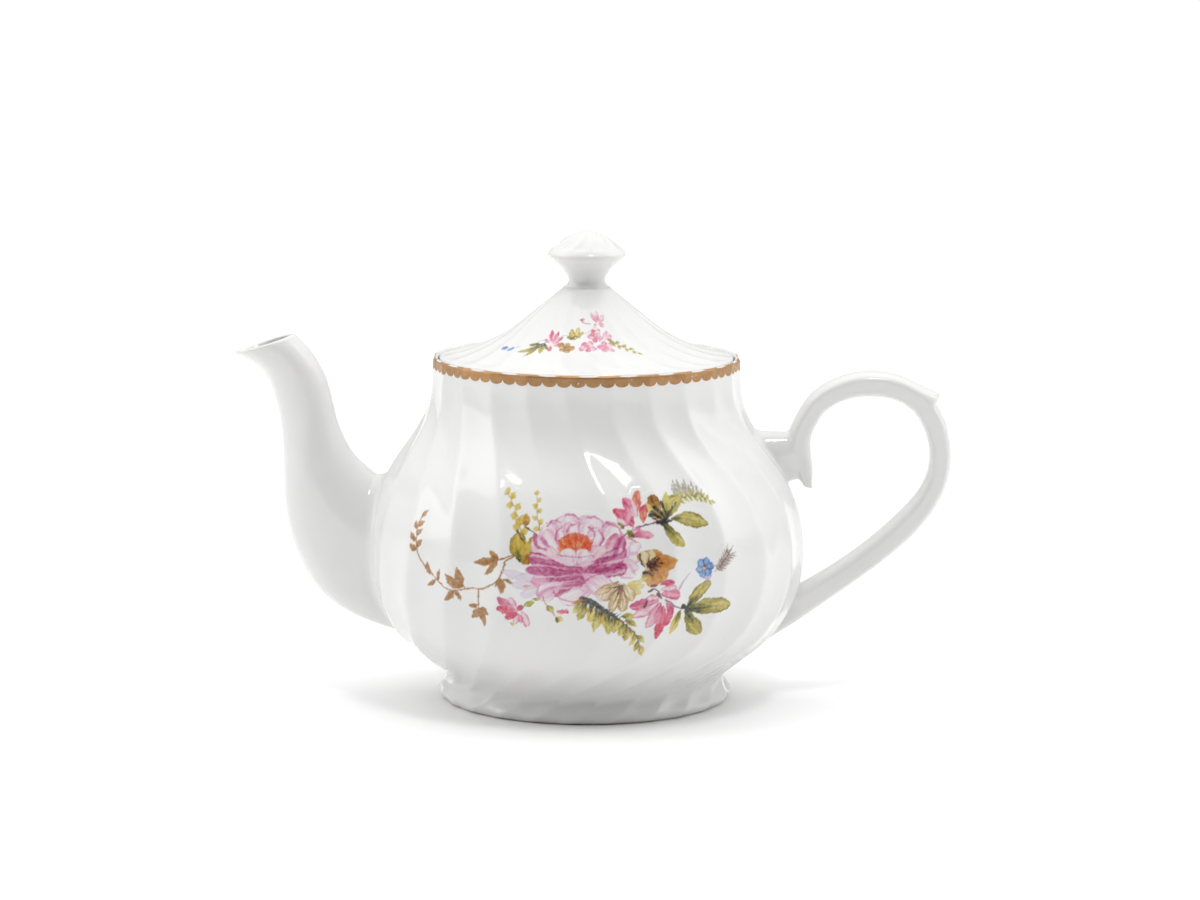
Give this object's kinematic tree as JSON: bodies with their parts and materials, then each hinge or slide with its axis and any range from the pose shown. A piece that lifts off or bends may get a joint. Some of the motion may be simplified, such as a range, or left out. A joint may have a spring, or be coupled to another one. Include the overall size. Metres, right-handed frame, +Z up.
{
  "type": "teapot",
  "caption": "Porcelain teapot with swirling flutes, S-shaped spout, looped handle and a lid with a knob that lifts out of a gallery in the rim.",
  "frame": {"origin": "centre of the foot ring, on the surface the pot stands on, under the axis of the pot", "axes": "+Z up along the pot's axis, -X towards the spout, +X towards the handle, -Y out of the decorated front"},
  "size_m": [0.2402, 0.146, 0.1576],
  "materials": {
    "white_glaze": "clear glossy glaze on white porcelain",
    "gold_lustre": "fired bronze-gold line, satin, slightly worn"
  },
  "bodies": {
    "pot": {"pot_body": "white_glaze", "spout": "white_glaze", "handle": "white_glaze", "gold_rim_band": "gold_lustre"},
    "lid": {"lid": "white_glaze", "lid_lug": "white_glaze", "lid_knob": "white_glaze"}
  },
  "joints": [
    {"name": "lid_lift", "type": "slide", "parent": "pot", "child": "lid", "axis": [0, 0, 1], "range_m": [0, 0.12]}
  ]
}
